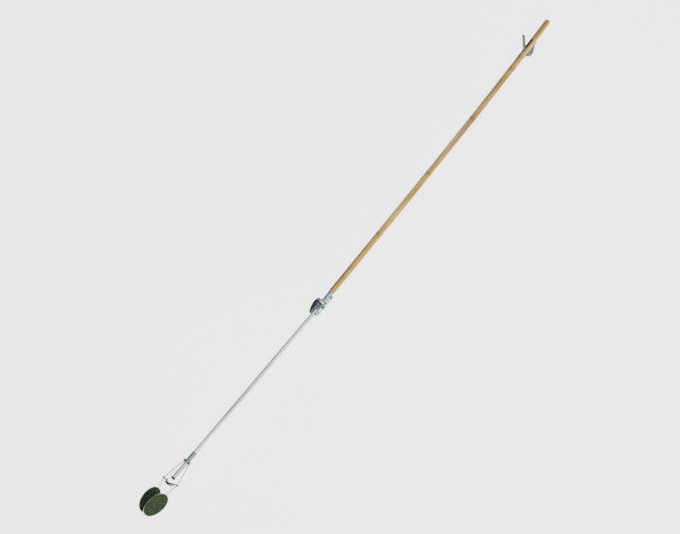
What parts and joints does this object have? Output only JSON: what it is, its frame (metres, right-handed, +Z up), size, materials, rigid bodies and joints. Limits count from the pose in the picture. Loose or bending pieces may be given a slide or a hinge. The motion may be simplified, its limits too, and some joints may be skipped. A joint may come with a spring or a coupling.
{
  "type": "boat hook",
  "caption": "Long folding pick-up pole: bamboo handle with a squeeze trigger, hinged lock joint, slim metal tube and sprung wire jaws with round green pads.",
  "frame": {"origin": "on the floor under the middle of the pole's length", "axes": "+X along the pole towards the top of the handle, +Z up, the jaws open along Y"},
  "size_m": [2.2662, 0.0772, 0.1173],
  "materials": {
    "bamboo": "satin, varnished bamboo",
    "zinc": "zinc plated, satin",
    "bright_plate": "bright zinc plated, satin",
    "aluminium": "drawn tube, satin",
    "disc_metal": "satin sheet",
    "spring_steel": "drawn spring wire, satin",
    "teal_paint": "semi-gloss enamel",
    "grey_green_paint": "satin enamel",
    "dark_casting": "blackened, satin",
    "green_felt": "matt felt"
  },
  "bodies": {
    "handle": {"cane": "bamboo", "ferrule": "zinc", "ferrule_pin_1": "zinc", "ferrule_pin_2": "zinc", "fold_bracket": "zinc", "lock_lever_pin": "zinc", "pivot_bolt": "zinc", "pivot_nut": "zinc", "pivot_washer": "bright_plate", "trigger_bracket": "teal_paint", "bracket_screw_1": "zinc", "bracket_screw_2": "zinc", "trigger_pin": "zinc", "slot_band": "bright_plate", "return_spring": "spring_steel"},
    "trigger": {"trigger_lever": "grey_green_paint"},
    "upper_wire": {"upper_pull_wire": "spring_steel", "spring_collar": "zinc"},
    "lower_pole": {"tube_tongue": "zinc", "lower_tube": "aluminium", "tube_rivet": "zinc", "tube_end_plug": "dark_casting", "stop_plate": "bright_plate", "plate_spacer": "zinc", "plate_screw": "zinc", "anchor_sleeve": "dark_casting", "jaw_pin_near": "zinc", "jaw_pin_far": "zinc"},
    "lock_lever": {"cam_lock_lever": "teal_paint"},
    "guide": {"guide_plate": "dark_casting", "eyelet_near": "zinc", "eyelet_far": "zinc", "lower_pull_wire": "spring_steel", "pull_wire_nut": "dark_casting", "pull_wire_ferrule": "zinc"},
    "jaw_near": {"jaw_knuckle_near": "zinc", "jaw_wire_near_upper": "spring_steel", "jaw_wire_near_lower": "spring_steel", "disc_core_near": "disc_metal", "grip_pad_near": "green_felt", "back_pad_near": "green_felt"},
    "jaw_far": {"jaw_knuckle_far": "zinc", "jaw_wire_far_upper": "spring_steel", "jaw_wire_far_lower": "spring_steel", "disc_core_far": "disc_metal", "grip_pad_far": "green_felt", "back_pad_far": "green_felt"}
  },
  "joints": [
    {"name": "trigger_pivot", "type": "hinge", "parent": "handle", "child": "trigger", "pos_m": [0.99659, 0, 0.01858], "axis": [0, 1, 0], "range_deg": [0, 32], "stiffness_Nm_per_rad": 0.5, "springref_deg": -11.46},
    {"name": "upper_wire_slide", "type": "slide", "parent": "handle", "child": "upper_wire", "axis": [1, 0, 0], "range_m": [0, 0.0125]},
    {"name": "fold", "type": "hinge", "parent": "handle", "child": "lower_pole", "pos_m": [-0.16385, 0, 0.022], "axis": [0, 1, 0], "range_deg": [0, 110]},
    {"name": "lock_lever_pivot", "type": "hinge", "parent": "handle", "child": "lock_lever", "pos_m": [-0.15235, 0.019, 0.022], "axis": [0, 0, -1], "range_deg": [0, 100]},
    {"name": "guide_slide", "type": "slide", "parent": "lower_pole", "child": "guide", "axis": [0.9995, 0, -0.0327], "range_m": [0, 0.0125]},
    {"name": "jaw_near_pivot", "type": "hinge", "parent": "lower_pole", "child": "jaw_near", "pos_m": [-0.89446, -0.0122, 0.04589], "axis": [0.0327, 0, 0.9995], "range_deg": [0, 2]},
    {"name": "jaw_far_pivot", "type": "hinge", "parent": "lower_pole", "child": "jaw_far", "pos_m": [-0.89446, 0.0122, 0.04589], "axis": [0.0327, 0, 0.9995], "range_deg": [-2, 0]}
  ],
  "couplings": [
    {"joint": "upper_wire_slide", "follows": "trigger_pivot", "m_per_rad": 0.022},
    {"joint": "guide_slide", "follows": "trigger_pivot", "m_per_rad": 0.022},
    {"joint": "jaw_near_pivot", "follows": "trigger_pivot", "ratio": 0.06},
    {"joint": "jaw_far_pivot", "follows": "trigger_pivot", "ratio": -0.06}
  ]
}
